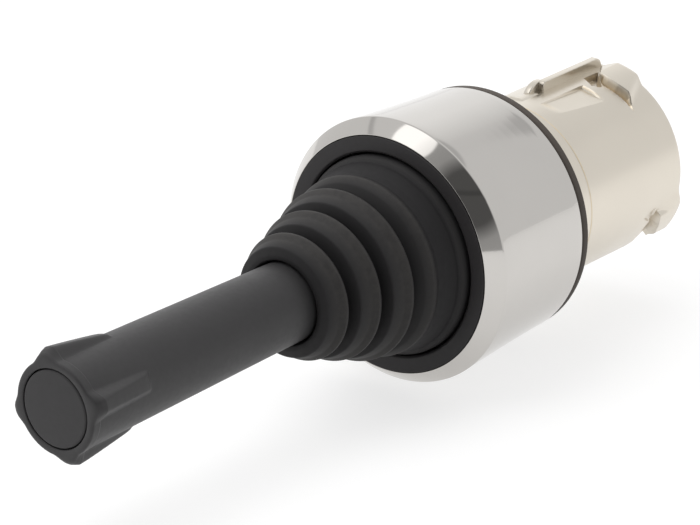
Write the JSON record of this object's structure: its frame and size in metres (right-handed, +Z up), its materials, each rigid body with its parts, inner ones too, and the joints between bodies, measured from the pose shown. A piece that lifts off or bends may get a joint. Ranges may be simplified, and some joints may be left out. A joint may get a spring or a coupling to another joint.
{
  "type": "industrial joystick head",
  "caption": "Panel-mount joystick head: ribbed stick that tilts in a rubber boot, chrome bezel, gasket and a die-cast collar with spring-loaded plungers for contact blocks.",
  "frame": {"origin": "on the axis, in the plane where the gasket's rear face meets the panel", "axes": "+Y along the axis, out of the collar behind the panel (the stick points towards -Y); +Z up, with the locating key just left of 12 o'clock, so tilting the stick towards +Z is up; +X to the right as the user sees it"},
  "size_m": [0.0292, 0.0907, 0.0292],
  "materials": {
    "die_cast_nickel": "satin nickel plate on a zinc die casting",
    "polished_chrome": "polished chrome plate",
    "gasket_rubber": "smooth moulded rubber",
    "ring_plastic": "fine moulded texture",
    "boot_rubber": "matte moulded rubber, slightly dusty crests",
    "stick_plastic": "fine moulded texture",
    "cap_plastic": "fine moulded texture",
    "frame_plastic": "moulded, glass filled",
    "guide_plastic": "moulded acetal",
    "plunger_plastic": "moulded",
    "steel": "turned and ground",
    "spring_steel": "drawn wire",
    "zinc": "zinc plated",
    "gimbal_zinc": "pressure cast zinc, satin"
  },
  "bodies": {
    "head": {"collar": "die_cast_nickel", "bezel": "polished_chrome", "gasket": "gasket_rubber", "retaining_ring": "ring_plastic", "boot": "boot_rubber", "pivot_frame": "frame_plastic", "guide_plate": "guide_plastic", "guide_screws": "zinc", "spring_top": "spring_steel", "spring_bottom": "spring_steel", "spring_left": "spring_steel", "spring_right": "spring_steel"},
    "gimbal": {"gimbal_ring": "gimbal_zinc", "gimbal_pin_left": "steel", "gimbal_pin_right": "steel"},
    "lever": {"lever_shaft": "steel", "stick": "stick_plastic", "end_cap": "cap_plastic", "stick_nut": "zinc", "lock_washer": "zinc", "cross_pin": "steel", "rocker": "guide_plastic", "rocker_clip": "steel"},
    "top_plunger": {"plunger_top": "plunger_plastic"},
    "bottom_plunger": {"plunger_bottom": "plunger_plastic"},
    "left_plunger": {"plunger_left": "plunger_plastic"},
    "right_plunger": {"plunger_right": "plunger_plastic"}
  },
  "joints": [
    {"name": "tilt_up_down", "type": "hinge", "parent": "head", "child": "gimbal", "pos_m": [0, -0.008, 0], "axis": [1, 0, 0], "range_deg": [-15, 15], "stiffness_Nm_per_rad": 0.4, "deforming": ["boot"]},
    {"name": "tilt_left_right", "type": "hinge", "parent": "gimbal", "child": "lever", "pos_m": [0, -0.008, 0], "axis": [0, 0, 1], "range_deg": [-15, 15], "stiffness_Nm_per_rad": 0.4},
    {"name": "plunger_top_slide", "type": "slide", "parent": "head", "child": "top_plunger", "axis": [0, 1, 0], "range_m": [-0.0015, 0.0015], "deforming": ["spring_top"]},
    {"name": "plunger_bottom_slide", "type": "slide", "parent": "head", "child": "bottom_plunger", "axis": [0, 1, 0], "range_m": [-0.0015, 0.0015], "deforming": ["spring_bottom"]},
    {"name": "plunger_left_slide", "type": "slide", "parent": "head", "child": "left_plunger", "axis": [0, 1, 0], "range_m": [-0.0015, 0.0015], "deforming": ["spring_left"]},
    {"name": "plunger_right_slide", "type": "slide", "parent": "head", "child": "right_plunger", "axis": [0, 1, 0], "range_m": [-0.0015, 0.0015], "deforming": ["spring_right"]}
  ],
  "couplings": [
    {"joint": "plunger_top_slide", "follows": "tilt_up_down", "m_per_rad": -0.0056},
    {"joint": "plunger_bottom_slide", "follows": "tilt_up_down", "m_per_rad": 0.0056},
    {"joint": "plunger_left_slide", "follows": "tilt_left_right", "m_per_rad": -0.0056},
    {"joint": "plunger_right_slide", "follows": "tilt_left_right", "m_per_rad": 0.0056}
  ]
}
